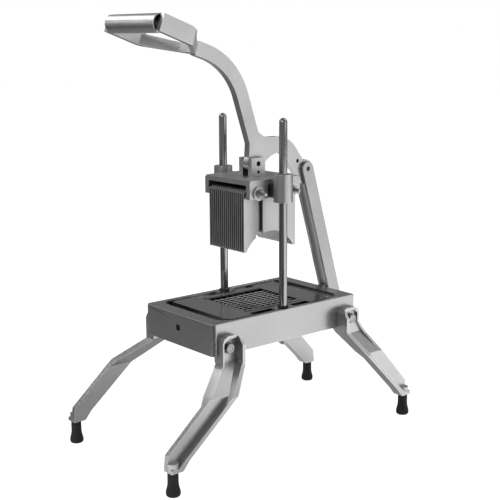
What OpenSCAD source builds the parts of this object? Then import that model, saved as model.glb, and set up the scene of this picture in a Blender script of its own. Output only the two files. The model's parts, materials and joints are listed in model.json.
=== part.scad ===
// Hand-operated onion cutter: a lever drives a finger block down two rods through a blade grid.
// Millimetres, Z up, front at -Y. Origin on the floor, midway between the four feet.

/* [Base] */
// Width of the base, left to right
base_w = 164; // [156:1:176]
// Length of the base, front to back
base_l = 276; // [266:1:296]
// Height of the base wall
base_h = 46; // [40:1:52]
// Height of the base top above the floor
deck_z = 205; // [195:1:225]
// Radius of the upright outer corners
base_r = 5; // [4:0.5:10]
// Thickness of the walls
wall_t = 5.5; // [5:0.5:7]
// Width of the top rim along the sides
side_rim = 8; // [7.5:0.5:10]
// Width of the top rim at both ends
end_rim = 22; // [18:1:25]
// Thickness of the top rim
rim_t = 4; // [3:0.5:6]
// Radius of the window corners
window_r = 18; // [12:1:24]
// Side of the square hole in the front wall
front_hole = 9; // [6:0.5:11]
// Diameter of the bosses that hold the rods
rod_boss_d = 26; // [24:0.5:28]
// Distance from the rod plane back to the base centre
base_back = 2; // [0:0.5:4]

/* [Legs] */
// Distance of the front foot centres from the middle, left to right
front_foot_x = 123.5; // [118:0.5:132]
// Distance of the rear foot centres from the middle, left to right
rear_foot_x = 112; // [108:0.5:132]
// Distance of the foot centres from the middle, front to back
foot_y = 229.5; // [222:0.5:240]
// Depth of the leg flange below the knee
leg_depth = 18; // [15:0.5:22]
// Thickness of the leg web
web_t = 8; // [6:0.5:10]
// Thickness of the leg flange
flange_t = 5; // [4:0.5:7]
// Thickness of the pad against the base
pad_t = 8; // [7:0.5:10]
// Width of the pad of a front leg
front_pad = 31; // [30:1:36]
// Width of the pad of a rear leg
rear_pad = 37; // [32:1:40]
// Reach of the front knees beyond the bolts
front_knee = 34; // [28:1:38]
// Reach of the rear knees beyond the bolts
rear_knee = 29; // [24:1:34]
// Height of a rubber foot
foot_h = 34; // [28:1:38]
// Diameter of a foot where it meets the leg
foot_stem_d = 15; // [13:0.5:17]
// Diameter of a foot at the floor
foot_d = 20; // [18:0.5:24]

/* [Guide rods] */
// Diameter of the guide rods
rod_d = 12; // [11:0.5:13]
// Distance of each rod in from the side of the base
rod_inset = 13; // [12:0.5:14]
// Height of the rods above the base
rod_h = 276; // [262:1:300]
// Distance of the rod plane behind the middle of the feet
rod_y = 12; // [8:1:16]

/* [Blades] */
// Cell width across the machine
cell_x = 9.2; // [9:0.1:9.6]
// Cell length along the machine
cell_y = 11.6; // [11:0.1:11.8]
// Thickness of a blade
blade_t = 0.8; // [0.5:0.1:1]
// Height of a blade
blade_h = 8; // [6:0.5:9]
// Thickness of the blade plate
plate_t = 8; // [7:0.5:9]

/* [Pusher head] */
// Height of the head plate top above the base at rest
lift = 188; // [186:1:196]
// Thickness of the head plate
head_t = 7; // [6:0.5:9]
// Height of the rod bushings on the head
bush_h = 40; // [36:1:44]
// Outside diameter of the rod bushings
bush_d = 28; // [26:0.5:30]
// Length of a pusher finger plate, top to bottom
finger_h = 92; // [88:1:94]
// Thickness of a finger plate
finger_t = 2.4; // [2:0.1:2.6]
// Height of the arch between the finger tips
arch_h = 27; // [22:1:32]

/* [Lever] */
// Thickness of the lever
lever_t = 12; // [10:0.5:12.5]
// Width of the lever shank
lever_w = 21; // [19:0.5:23]
// Height of the pivot above the head plate
pivot_h = 18; // [17:0.5:20]
// Width of the grip loop
grip_w = 132; // [124:1:140]
// Diameter of the grip bar
grip_d = 24; // [22:0.5:26]
// Diameter of the lever pin and the lower link pin
pin_d = 8; // [7:0.5:8.5]
// Diameter of the upper link pin
top_pin_d = 7; // [6:0.5:7.5]
// Width of the link bars
link_w = 21.5; // [20:0.5:23]
// Thickness of the link bars
link_t = 5.5; // [4.5:0.5:6]

/* [Clearances] */
// Running clearance on radius at pins and bushings
run_fit = 0.05; // [0.03:0.01:0.08]
// Clearance on each side of the lever and of the lower lug
side_fit = 0.6; // [0.4:0.1:0.8]
// Clearance on radius around bolts
bolt_fit = 0.3; // [0.2:0.05:0.4]

/* [Hidden] */
$fn = 64;
small = 0.01;
base_y = rod_y - base_back;
base_z = deck_z - base_h;
rod_x = base_w / 2 - rod_inset;
window_x = base_w - 2 * side_rim;
window_y = base_l - 2 * end_rim;
// Bolts and fixings
m8 = 8;
m6 = 6;
m4 = 4;
nut8_af = 13;
nut8_h = 6.5;
nut6_af = 10;
nut6_h = 5;
washer_t = 1.6;
washer_d = 16;
hex = 6;
// Blade plate
half_rows = 4;
open_x = 2 * half_rows * cell_x + cell_x + 4.6;
open_y = 2 * half_rows * cell_y + cell_y + 0.8;
plate_drop = 1;
plate_z = deck_z - plate_drop;
collar_t = 6;
seat = 4;
slot_play = 0.1;
tier_gap = 0.6;
upper_z = plate_z - 1;
lower_z = upper_z - tier_gap;
lap_z = (upper_z - blade_h + lower_z) / 2;
collar_z = lower_z - blade_h;
keeper_t = 3;
plate_gap = 16;
plate_y = window_y - 2 * plate_gap;
wing_x = window_x - 10;
waist_x = 2 * (rod_x - rod_boss_d / 2 + 3);
waist_y = open_y + 6;
plate_r = 8;
ridge_w = 5;
ridge_h = 1;
rail_w = 9;
rail_h = 14;
rail_y = plate_y / 2 - rail_w - 4;
dowel_d = 6;
dowel_x = 50;
dowel_in = 5;
keeper_bite = 6;
screw_head_d = 7;
screw_head_h = 2;
// Rods
stud_z = base_z + 12;
bumper_h = 3;
bumper_d = rod_d + 4;
boss_w = 34;
boss_in = 7;
hole_deep = 4;
// Head
head_z = deck_z + lift;
skirt_x = 52;
skirt_t = 8.5;
skirt_y = 48;
skirt_in = 14;
skirt_z = head_z - 27;
bush_z = head_z + 8 - bush_h;
liner_d = 18;
tie_y = 32;
tie_z = head_z - 19;
tie_boss_d = 20;
tie_boss_t = 2.5;
tie_out = 17;
spacer_d = 11;
finger_n = 18;
slotted_n = 1;
pitch = cell_x / 2;
finger_top = head_z - head_t - 6;
finger_z = finger_top - finger_h;
finger_y = 99;
tip = 4.5;
groove_y0 = 14;
groove_y1 = 27;
lug_t = 8;
lug_in = lever_t / 2 + side_fit;
lug_y = 26;
pin_sink = 3.5;
top_pin_sink = 1;
lug_h = pivot_h + 8.6;
// Lever, in the plane of the rods, measured from the lever pin
pivot_z = head_z + pivot_h;
boss_r = 13.5;
shank_a = 108.4;
neck_a = 162;
bend_r = 100;
shank_x0 = 11 / sin(shank_a);
shank_len = 104;
neck_len = 23;
arm_r = 33;
arm_w = 24;
arm_y = 45;
arm_z = -8.6;
arm_sweep = 53;
join_l = 1.2;
join_step = 0.12;
tail_len = 50;
link_y = 102;
link_z = -16;
slot_a = -11.8;
slot_l = 5.7;
slot_y = 0.1;
slot_z = 0.4;
slot_w = top_pin_d + 2.4;
eye_r = 13.8;
spare_y = 85;
spare_z = -3;
spare_d = 6;
// Links
foot_pin_y = 26;
foot_pin_z = deck_z - 14;
foot_pin_back = base_y + base_l / 2 - rod_y + foot_pin_y;
link_in = lever_t / 2 + side_fit;
link_out = link_in + link_t;
link_dy = foot_pin_back - link_y;
link_dz = foot_pin_z - pivot_z - link_z;
link_len = sqrt(link_dy * link_dy + link_dz * link_dz);
link_a = atan2(link_dz, link_dy);
lug_r = 12;
// Grip
tilt = 20;
grip_drop = 2.2;
grip_h = 24;
grip_wall = 9;
grip_back = 5;
corner_r = 5;
corner_v = 41;
web_half = 14;
web_v = 10;
bar_v = 96.5;
plate_v = 101;
spigot_d = 8;
spigot_l = 5;
spigot_in = 4;
cup_l = 7;
cup_t = 1.5;
// Legs
pad_top = base_z + 30;
bolt_z = base_z + 13;
bend_z = base_z - 11;
knee_z = base_z - 41;
bolt_u = base_l / 2 - 19;
pad_in = bolt_u - 20;
front_bend = [0, 0];
rear_bend = [8, 18];
knee_w = 21;
side_x = base_w / 2;
ledge = 8;
ledge_t = 9;
rim_x = side_x + pad_t + 15;
lip_w = 4;
lip_h = 4;
rim_cut = 13;
seat_h = 12;
stud_l = 14;
chamfer = 9;

// Helpers
module rounded_box(w, l, h, r) {
    union() {
        translate([-w / 2 + r, -l / 2, 0]) cube([w - 2 * r, l, h]);
        translate([-w / 2, -l / 2 + r, 0]) cube([w, l - 2 * r, h]);
        for (i = [-1, 1], j = [-1, 1])
            translate([i * (w / 2 - r), j * (l / 2 - r), 0]) cylinder(r = r, h = h);
    }
}

module box_c(w, l, h) {
    translate([-w / 2, -l / 2, 0]) cube([w, l, h]);
}

// A flat outline drawn in Y and Z, thick in X from x0 to x1
module side_plate(x0, x1) {
    translate([x0, 0, 0]) rotate([90, 0, 90]) linear_extrude(x1 - x0) children();
}

module x_rod(d, x0, x1) {
    translate([x0, 0, 0]) rotate([0, 90, 0]) cylinder(d = d, h = x1 - x0);
}

module nut_x(af, h, bore) {
    rotate([0, 90, 0]) difference() {
        cylinder(d = af / cos(180 / hex), h = h, $fn = hex);
        translate([0, 0, -small]) cylinder(d = bore, h = h + 2 * small);
    }
}

module nut_z(af, h, bore) {
    difference() {
        cylinder(d = af / cos(180 / hex), h = h, $fn = hex);
        translate([0, 0, -small]) cylinder(d = bore, h = h + 2 * small);
    }
}

module at_work() {
    translate([0, rod_y, 0]) children();
}

// Base
module base_frame() {
    color("silver") difference() {
        union() {
            translate([0, base_y, base_z]) difference() {
                rounded_box(base_w, base_l, base_h, base_r);
                translate([0, 0, -small])
                    box_c(base_w - 2 * wall_t, base_l - 2 * wall_t, base_h - rim_t + small);
                translate([0, 0, -small])
                    rounded_box(window_x, window_y, base_h + 2 * small, window_r);
            }
            for (s = [-1, 1]) translate([0, base_y + s * (rail_y + rail_w / 2), 0])
                translate([0, 0, plate_z - plate_t - rail_h])
                    box_c(base_w - wall_t, rail_w, rail_h);
            at_work() translate([0, 0, base_z]) intersection() {
                box_c(base_w - wall_t, 2 * rod_boss_d, base_h);
                for (s = [-1, 1]) translate([s * rod_x, 0, 0]) {
                    cylinder(d = rod_boss_d, h = base_h);
                    translate([s * (rod_inset - boss_in) / 2, 0, 0])
                        box_c(rod_inset + boss_in, boss_w, base_h);
                }
            }
            at_work() side_plate(-lever_t / 2, lever_t / 2) {
                translate([foot_pin_back, foot_pin_z]) circle(r = lug_r);
                translate([foot_pin_back - foot_pin_y - wall_t / 2, foot_pin_z - lug_r])
                    square([foot_pin_y + wall_t / 2, 2 * lug_r]);
            }
        }
        translate([0, base_y - base_l / 2 - wall_t + hole_deep, deck_z - 20])
            cube([front_hole, 2 * wall_t, front_hole], center = true);
        at_work() for (s = [-1, 1]) translate([s * rod_x, 0, 0]) {
            translate([0, 0, stud_z]) cylinder(d = rod_d, h = base_h);
            translate([0, 0, base_z - small]) cylinder(d = m8 + 2 * bolt_fit, h = base_h / 2);
        }
        at_work() translate([0, foot_pin_back, foot_pin_z]) x_rod(pin_d, -lever_t, lever_t);
        for (s = [-1, 1], e = [-1, 1])
            translate([s * (side_x - wall_t / 2), base_y + e * bolt_u, bolt_z])
                x_rod(m8 + 2 * bolt_fit, -wall_t, wall_t);
        for (s = [-1, 1], e = [-1, 1])
            translate([s * dowel_x, base_y + e * (rail_y + rail_w / 2), plate_z - plate_t - dowel_in])
                cylinder(d = dowel_d, h = dowel_in + 1);
    }
}

// Legs. Outline drawn outward from the base centre (u) and up (z)
function leg_edge_out(knee, foot, pad_out, bend) = [
    [pad_out, bend_z + bend[1]], [bolt_u + knee + knee_w, knee_z],
    [foot + 6, foot_h + 22], [foot + 8, foot_h + 6], [foot + 8, foot_h]];
function leg_edge_in(knee, foot, bend) = [
    [foot - 11, foot_h], [foot - 22, foot_h + 13],
    [bolt_u + knee - knee_w, knee_z], [pad_in, bend_z + bend[0]]];

module leg_outline(knee, foot, pad_out, bend) {
    polygon(concat(
        [[pad_in, pad_top - chamfer], [pad_in + chamfer / 3, pad_top - chamfer / 3],
         [pad_in + chamfer, pad_top], [pad_out - chamfer, pad_top],
         [pad_out - chamfer / 3, pad_top - chamfer / 3], [pad_out, pad_top - chamfer]],
        leg_edge_out(knee, foot, pad_out, bend), leg_edge_in(knee, foot, bend)));
}

module flange_outline(knee, foot, bend) {
    slant = flange_t * 1.38;
    polygon([
        [pad_in, pad_top], [pad_in + flange_t, pad_top],
        [pad_in + flange_t, bend_z + bend[0] + 2], [bolt_u + knee - knee_w + slant, knee_z + 2],
        [foot - 22 + slant, foot_h + 15], [foot - 11 + slant, foot_h + 5],
        [foot + 8, foot_h + 5], [foot + 8, foot_h],
        [foot - 11, foot_h], [foot - 22, foot_h + 13],
        [bolt_u + knee - knee_w, knee_z], [pad_in, bend_z + bend[0]]]);
}

// A low rim around the pad, which fades out towards the knee
module lip_outline(knee, pad_out, bend) {
    lip = min(lip_w, pad_out - bolt_u - washer_d / 2 - 1);
    slant = lip * 1.38;
    polygon([
        [pad_out, bend_z + bend[1]], [pad_out, pad_top - chamfer],
        [pad_out - chamfer / 3, pad_top - chamfer / 3], [pad_out - chamfer, pad_top],
        [pad_in + 1, pad_top], [pad_in + 1, pad_top - lip_w],
        [pad_out - chamfer - 1, pad_top - lip_w], [pad_out - lip, pad_top - chamfer - 1],
        [pad_out - lip, bend_z + bend[1]],
        [bolt_u + knee + knee_w - slant, knee_z], [bolt_u + knee + knee_w, knee_z]]);
}

// The leg seen from the front: how far out (x) its faces lie at each height
module leg_section(top_out, end_x, depth, far, length) {
    translate([0, far, 0]) rotate([90, 0, 0]) linear_extrude(length)
        polygon([
            [side_x, pad_top + 1], [min(side_x + pad_t + lip_h, top_out), pad_top + 1],
            [top_out, pad_top - rim_cut],
            [top_out, bend_z], [end_x + depth, knee_z - 2], [end_x + depth, foot_h - 1],
            [end_x, foot_h - 1], [end_x, knee_z - 10], [side_x - ledge, base_z - ledge_t],
            [side_x - ledge, base_z], [side_x, base_z]]);
}

module leg(knee, foot, foot_x, pad_out, bend) {
    far = foot + 20;
    deep = far - pad_in + 10;
    end_x = foot_x - leg_depth / 2;
    difference() {
        union() {
            intersection() {
                leg_section(side_x + pad_t, end_x, web_t, far, deep);
                side_plate(0, side_x + foot_x) leg_outline(knee, foot, pad_out, bend);
            }
            intersection() {
                leg_section(rim_x, end_x, leg_depth, far, deep);
                side_plate(0, side_x + foot_x) intersection() {
                    flange_outline(knee, foot, bend);
                    leg_outline(knee, foot, pad_out, bend);
                }
            }
            intersection() {
                leg_section(side_x + pad_t + lip_h, end_x, web_t, far, deep);
                side_plate(0, side_x + foot_x) intersection() {
                    lip_outline(knee, pad_out, bend);
                    leg_outline(knee, foot, pad_out, bend);
                }
            }
            translate([foot_x, foot, foot_h]) cylinder(d = leg_depth - 1, h = seat_h);
        }
        translate([0, bolt_u, bolt_z]) x_rod(m8 + 2 * bolt_fit, 0, rim_x + pad_t);
        translate([foot_x, foot, foot_h - 1]) cylinder(d = m6, h = stud_l - 4);
    }
}

function foot_x_at(sy) = sy < 0 ? front_foot_x : rear_foot_x;

module leg_at(sx, sy) {
    translate([0, base_y, 0]) mirror([sx < 0 ? 1 : 0, 0, 0]) mirror([0, sy < 0 ? 1 : 0, 0])
        if (sy < 0)
            leg(front_knee, foot_y + base_y, front_foot_x, pad_in + front_pad, front_bend);
        else
            leg(rear_knee, foot_y - base_y, rear_foot_x, pad_in + rear_pad, rear_bend);
}

module leg_front_right() {
    color("silver") leg_at(1, -1);
}

module leg_front_left() {
    color("silver") leg_at(-1, -1);
}

module leg_rear_right() {
    color("silver") leg_at(1, 1);
}

module leg_rear_left() {
    color("silver") leg_at(-1, 1);
}

module foot_at(sx, sy) {
    color("black") translate([sx * foot_x_at(sy), sy * foot_y, 0]) difference() {
        rotate_extrude() polygon([
            [0, 0], [foot_d / 2 - 3, 0], [foot_d / 2, 3], [foot_d / 2, 7],
            [foot_stem_d / 2, foot_h * 0.5], [foot_stem_d / 2, foot_h], [0, foot_h]]);
        translate([0, 0, foot_h - 5]) cylinder(d = m6, h = 6);
    }
}

module foot_front_right() {
    foot_at(1, -1);
}

module foot_front_left() {
    foot_at(-1, -1);
}

module foot_rear_right() {
    foot_at(1, 1);
}

module foot_rear_left() {
    foot_at(-1, 1);
}

module foot_studs() {
    color("gray") for (sx = [-1, 1], sy = [-1, 1])
        translate([sx * foot_x_at(sy), sy * foot_y, foot_h - 5]) cylinder(d = m6, h = stud_l);
}

module at_leg_bolts() {
    for (sx = [-1, 1], sy = [-1, 1])
        translate([0, base_y + sy * bolt_u, bolt_z]) mirror([sx < 0 ? 1 : 0, 0, 0]) children();
}

module leg_bolts() {
    color("gainsboro") at_leg_bolts() {
        x_rod(m8, side_x - wall_t - nut8_h - 3, side_x + pad_t + washer_t);
        translate([side_x + pad_t + washer_t, 0, 0]) rotate([0, 90, 0])
            cylinder(d = nut8_af / cos(180 / hex), h = 5.5, $fn = hex);
    }
}

module leg_washers() {
    color("gainsboro") at_leg_bolts() difference() {
        x_rod(washer_d, side_x + pad_t, side_x + pad_t + washer_t);
        x_rod(m8 + bolt_fit, side_x, side_x + 2 * pad_t);
    }
}

module leg_nuts() {
    color("gainsboro") at_leg_bolts()
        translate([side_x - wall_t - nut8_h, 0, 0]) nut_x(nut8_af, nut8_h, m8);
}

// Guide rods
module guide_rod(s) {
    color("lightgray") at_work() translate([s * rod_x, 0, 0]) {
        translate([0, 0, stud_z]) cylinder(d = rod_d, h = deck_z + rod_h - rod_d / 2 - stud_z);
        translate([0, 0, deck_z + rod_h - rod_d / 2]) sphere(d = rod_d);
        translate([0, 0, base_z - washer_t - nut8_h - 2])
            cylinder(d = m8, h = stud_z - base_z + washer_t + nut8_h + 2 + small);
    }
}

module guide_rod_right() {
    guide_rod(1);
}

module guide_rod_left() {
    guide_rod(-1);
}

module rod_bumpers() {
    color("black") at_work() for (s = [-1, 1]) translate([s * rod_x, 0, deck_z]) difference() {
        cylinder(d = bumper_d, h = bumper_h);
        translate([0, 0, -small]) cylinder(d = rod_d, h = bumper_h + 2 * small);
    }
}

module rod_washers() {
    color("gainsboro") at_work() for (s = [-1, 1])
        translate([s * rod_x, 0, base_z - washer_t]) difference() {
            cylinder(d = washer_d, h = washer_t);
            translate([0, 0, -small]) cylinder(d = m8 + bolt_fit, h = washer_t + 2 * small);
        }
}

module rod_nuts() {
    color("gainsboro") at_work() for (s = [-1, 1])
        translate([s * rod_x, 0, base_z - washer_t - nut8_h]) nut_z(nut8_af, nut8_h, m8);
}

// Blades
module blade_slots(play) {
    for (i = [-half_rows + 0.5 : half_rows - 0.5])
        translate([i * cell_x, 0, upper_z - blade_h])
            box_c(blade_t + 2 * play, open_y + 2 * seat, blade_h + (play > 0 ? 3 : 0));
}

module cross_slots(play) {
    for (i = [-half_rows + 0.5 : half_rows - 0.5])
        translate([0, i * cell_y, lower_z - blade_h - (play > 0 ? 3 : 0)])
            box_c(open_x + 2 * seat, blade_t + 2 * play, blade_h + (play > 0 ? 3 : 0));
}

module blade_plate() {
    color("silver") difference() {
        union() {
            translate([0, base_y, plate_z - plate_t]) intersection() {
                rounded_box(wing_x, plate_y, plate_t, plate_r);
                union() {
                    box_c(waist_x, plate_y, plate_t);
                    for (s = [-1, 1])
                        translate([0, s * (plate_y / 2 + waist_y / 2) / 2, 0])
                            box_c(wing_x, plate_y / 2 - waist_y / 2, plate_t);
                }
            }
            at_work() translate([0, 0, collar_z])
                box_c(open_x + 2 * collar_t, open_y + 2 * collar_t, plate_z - collar_z - 1);
            at_work() for (s = [-1, 1])
                translate([s * (open_x / 2 + ridge_w), 0, plate_z - 1])
                    box_c(ridge_w, open_y + 4, ridge_h + 1);
        }
        at_work() translate([0, 0, collar_z - small])
            box_c(open_x, open_y, plate_z - collar_z + 1);
        at_work() for (s = [-1, 1]) translate([s * rod_x, 0, collar_z])
            cylinder(d = rod_boss_d + 3, h = 3 * plate_t);
        at_work() blade_slots(slot_play);
        at_work() cross_slots(slot_play);
        for (s = [-1, 1], e = [-1, 1])
            translate([s * dowel_x, base_y + e * (rail_y + rail_w / 2), plate_z - plate_t - small])
                cylinder(d = dowel_d + 2 * bolt_fit, h = dowel_in + bolt_fit);
        at_work() at_keeper_screws() translate([0, 0, collar_z - small])
            cylinder(d = m4, h = keeper_bite + 1);
    }
}

// The two sets of blades are halved into each other where they cross
module upper_blades() {
    notch = blade_t + 2 * slot_play;
    color("lightgray") at_work() difference() {
        blade_slots(0);
        for (i = [-half_rows + 0.5 : half_rows - 0.5])
            translate([0, i * cell_y, upper_z - blade_h - 1])
                box_c(open_x, notch, lap_z + slot_play - upper_z + blade_h + 1);
    }
}

module lower_blades() {
    notch = blade_t + 2 * slot_play;
    color("lightgray") at_work() difference() {
        cross_slots(0);
        for (i = [-half_rows + 0.5 : half_rows - 0.5])
            translate([i * cell_x, 0, lap_z - slot_play])
                box_c(notch, open_y, lower_z - lap_z + slot_play + 1);
    }
}

module at_keeper_screws() {
    for (s = [-1, 1], e = [-1, 1])
        translate([s * (open_x + collar_t) / 2, e * (open_y + collar_t) / 2, 0]) children();
}

module blade_keeper() {
    color("silver") at_work() translate([0, 0, collar_z - keeper_t]) difference() {
        box_c(open_x + 2 * collar_t, open_y + 2 * collar_t, keeper_t);
        translate([0, 0, -small]) box_c(open_x, open_y, keeper_t + 2 * small);
        at_keeper_screws() translate([0, 0, -small])
            cylinder(d = m4 + 2 * bolt_fit, h = keeper_t + 2 * small);
    }
}

module keeper_screws() {
    color("gainsboro") at_work() at_keeper_screws() translate([0, 0, collar_z - keeper_t]) {
        cylinder(d = m4, h = keeper_t + keeper_bite);
        translate([0, 0, -screw_head_h]) cylinder(d = screw_head_d, h = screw_head_h);
    }
}

module plate_dowels() {
    color("gainsboro") for (s = [-1, 1], e = [-1, 1])
        translate([s * dowel_x, base_y + e * (rail_y + rail_w / 2), plate_z - plate_t - dowel_in])
            cylinder(d = dowel_d, h = 2 * dowel_in);
}

// Pusher head
module head_casting() {
    color("silver") at_work() difference() {
        union() {
            translate([0, 0, head_z - head_t])
                rounded_box(2 * skirt_x, 2 * skirt_y, head_t, 4);
            for (s = [-1, 1], e = [-1, 1]) {
                translate([s * (skirt_x - skirt_t / 2), e * (skirt_y + skirt_in) / 2, skirt_z])
                    box_c(skirt_t, skirt_y - skirt_in, head_z - skirt_z - 2);
                translate([0, e * tie_y, tie_z]) mirror([s < 0 ? 1 : 0, 0, 0])
                    x_rod(tie_boss_d, skirt_x - skirt_t, skirt_x + tie_boss_t);
            }
            for (s = [-1, 1]) {
                translate([s * rod_x, 0, bush_z]) cylinder(d = bush_d, h = bush_h);
                translate([s * (skirt_x - skirt_t + rod_x - liner_d / 2) / 2, 0, skirt_z])
                    box_c(rod_x - liner_d / 2 - skirt_x + skirt_t, 17, head_z - skirt_z);
            }
            for (s = [-1, 1]) mirror([s < 0 ? 1 : 0, 0, 0])
                side_plate(lug_in, lug_in + lug_t)
                    translate([-lug_y / 2, head_z - 1]) square([lug_y, lug_h + 1]);
        }
        for (s = [-1, 1]) translate([s * rod_x, 0, bush_z - small])
            cylinder(d = liner_d, h = bush_h + 2 * small);
        translate([0, 0, pivot_z]) x_rod(pin_d, -skirt_x, skirt_x);
        translate([0, 0, head_z + 6]) x_rod(5, -skirt_x, skirt_x);
        for (e = [-1, 1]) translate([0, e * tie_y, tie_z])
            x_rod(m6 + 2 * bolt_fit, -skirt_x - tie_out, skirt_x + tie_out);
    }
}

module bushing(s) {
    color("darkgoldenrod") at_work() translate([s * rod_x, 0, bush_z]) difference() {
        cylinder(d = liner_d, h = bush_h);
        translate([0, 0, -small]) cylinder(d = rod_d + 2 * run_fit, h = bush_h + 2 * small);
    }
}

module bushing_right() {
    bushing(1);
}

module bushing_left() {
    bushing(-1);
}

// One finger plate: two legs joined above an arch
module finger_outline() {
    half = finger_y / 2;
    arch_r = ((half - tip) * (half - tip) + arch_h * arch_h) / (2 * arch_h);
    difference() {
        polygon([
            [-half, finger_z], [half, finger_z], [half, finger_top - 6], [half - 6, finger_top],
            [-half + 6, finger_top], [-half, finger_top - 6]]);
        translate([0, finger_z + arch_h - arch_r]) circle(r = arch_r, $fn = 96);
        for (e = [-1, 1]) translate([e * tie_y, tie_z]) circle(d = m6 + 2 * bolt_fit);
    }
}

module finger_at(i) {
    side_plate((i + 0.5) * pitch - finger_t / 2, (i + 0.5) * pitch + finger_t / 2) children();
}

module finger_plates() {
    color("lightgray") at_work()
        for (i = [-finger_n / 2 + slotted_n : finger_n / 2 - slotted_n - 1])
            finger_at(i) finger_outline();
}

module outer_finger_plates() {
    color("lightgray") at_work()
        for (k = [0 : slotted_n - 1], i = [-finger_n / 2 + k, finger_n / 2 - 1 - k])
            finger_at(i) difference() {
                finger_outline();
                for (e = [-1, 1])
                    translate([e * (groove_y0 + groove_y1) / 2 - (groove_y1 - groove_y0) / 2,
                               finger_z - 1])
                        square([groove_y1 - groove_y0, skirt_z - finger_z]);
            }
}

module spacer(x0, x1) {
    for (e = [-1, 1]) translate([0, e * tie_y, tie_z]) difference() {
        x_rod(spacer_d, x0, x1);
        x_rod(m6 + bolt_fit, x0 - 1, x1 + 1);
    }
}

module finger_spacers() {
    gap = pitch - finger_t;
    pack_x = (finger_n - 1) * pitch / 2 + finger_t / 2;
    color("gainsboro") at_work() {
        for (i = [-finger_n / 2 + 1 : finger_n / 2 - 1])
            spacer(i * pitch - gap / 2, i * pitch + gap / 2);
        spacer(pack_x, skirt_x - skirt_t);
        spacer(skirt_t - skirt_x, -pack_x);
    }
}

module tie_rod(e) {
    color("gainsboro") at_work() translate([0, e * tie_y, tie_z])
        x_rod(m6, -skirt_x - tie_out, skirt_x + tie_out);
}

module tie_rod_front() {
    tie_rod(-1);
}

module tie_rod_rear() {
    tie_rod(1);
}

module tie_rod_nuts() {
    color("gainsboro") at_work() for (s = [-1, 1], e = [-1, 1])
        translate([0, e * tie_y, tie_z]) mirror([s < 0 ? 1 : 0, 0, 0])
            translate([skirt_x + tie_boss_t, 0, 0]) nut_x(nut6_af, nut6_h, m6);
}

module lever_pin() {
    color("gainsboro") at_work() translate([0, 0, pivot_z])
        x_rod(pin_d, -lug_in - lug_t + pin_sink, lug_in + lug_t - pin_sink);
}

// Lever, drawn around the lever pin
function along(p, a, d) = [p[0] + d * cos(a), p[1] + d * sin(a)];
shank_0 = [shank_x0, 0];
shank_1 = along(shank_0, shank_a, shank_len);
bend_c = along(shank_1, shank_a + 90, bend_r);
shank_2 = along(bend_c, neck_a - 90, bend_r);
neck_p = along(shank_2, neck_a, neck_len);
arm_c = [arm_y, arm_z];
tail_0 = along(arm_c, 90 - arm_sweep, arm_r);
tail_1 = along(tail_0, -arm_sweep, tail_len);

module strip(p, q, a, w) {
    polygon([along(p, a + 90, w / 2), along(q, a + 90, w / 2),
             along(q, a - 90, w / 2), along(p, a - 90, w / 2)]);
}

// A curved bar that runs a little way into the straight ones at both ends
module arc_bar(c, r, w, a0, a1, t) {
    join_a = join_l / r * 180 / PI;
    translate([0, c[0], c[1]]) rotate([90, 0, 90]) rotate([0, 0, a0 - join_a])
        rotate_extrude(angle = a1 - a0 + 2 * join_a, $fn = 128)
            translate([r - w / 2 + join_step, -t / 2]) square([w - 2 * join_step, t]);
}

module lever_arm() {
    foot = along(shank_0, shank_a, 20);
    root = along(shank_0, shank_a, 34);
    knee = along(shank_0, shank_a, 46);
    color("silver") at_work() translate([0, 0, pivot_z]) difference() {
        union() {
            side_plate(-lever_t / 2, lever_t / 2) {
                circle(r = boss_r);
                strip(foot, shank_1, shank_a, lever_w);
                polygon([
                    along(root, shank_a + 90, lever_w / 2 - join_step),
                    along(knee, shank_a - 90, lever_w / 2 - 1),
                    [arm_y * 0.36, arm_z + arm_r + arm_w / 2 + 3],
                    [arm_y * 0.56, arm_z + arm_r + arm_w / 2], [arm_y, arm_z + arm_r + arm_w / 2],
                    [arm_y, arm_z + arm_r - arm_w / 2], [arm_y * 0.7, arm_z + arm_r - arm_w / 2 - 4],
                    [arm_y * 0.5, 2], [boss_r * 0.6, -boss_r * 0.6], [-boss_r * 0.6, -boss_r * 0.6],
                    [-boss_r * 0.78, boss_r * 0.58]]);
                strip(shank_2, neck_p, neck_a, lever_w);
                strip(tail_0, tail_1, -arm_sweep, arm_w);
                translate(tail_1) circle(r = arm_w / 2 - join_step);
                translate([link_y, link_z]) circle(r = eye_r);
            }
            arc_bar(bend_c, bend_r, lever_w, shank_a - 90, neck_a - 90, lever_t);
            arc_bar(arm_c, arm_r, arm_w, 90 - arm_sweep, 90, lever_t);
            grip_loop();
        }
        x_rod(pin_d + 2 * run_fit, -lever_t, lever_t);
        side_plate(-lever_t, lever_t) {
            translate([link_y + slot_y, link_z + slot_z]) rotate(slot_a) {
                square([2 * slot_l, slot_w], center = true);
                for (s = [-1, 1]) translate([s * slot_l, 0]) circle(d = slot_w);
            }
            translate([spare_y, spare_z]) circle(d = spare_d);
        }
        at_grip() translate([0, bar_v - spigot_in, 0])
            x_rod(spigot_d, -grip_w / 2 + grip_wall - spigot_l, grip_w / 2 - grip_wall + spigot_l);
    }
}

// The grip loop lies in a plane tilted up towards the front: v runs forward along it
module at_grip() {
    translate([0, neck_p[0], neck_p[1]]) rotate([180 - tilt, 0, 0]) mirror([0, 0, 1])
        translate([0, 0, -grip_drop]) children();
}

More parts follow.
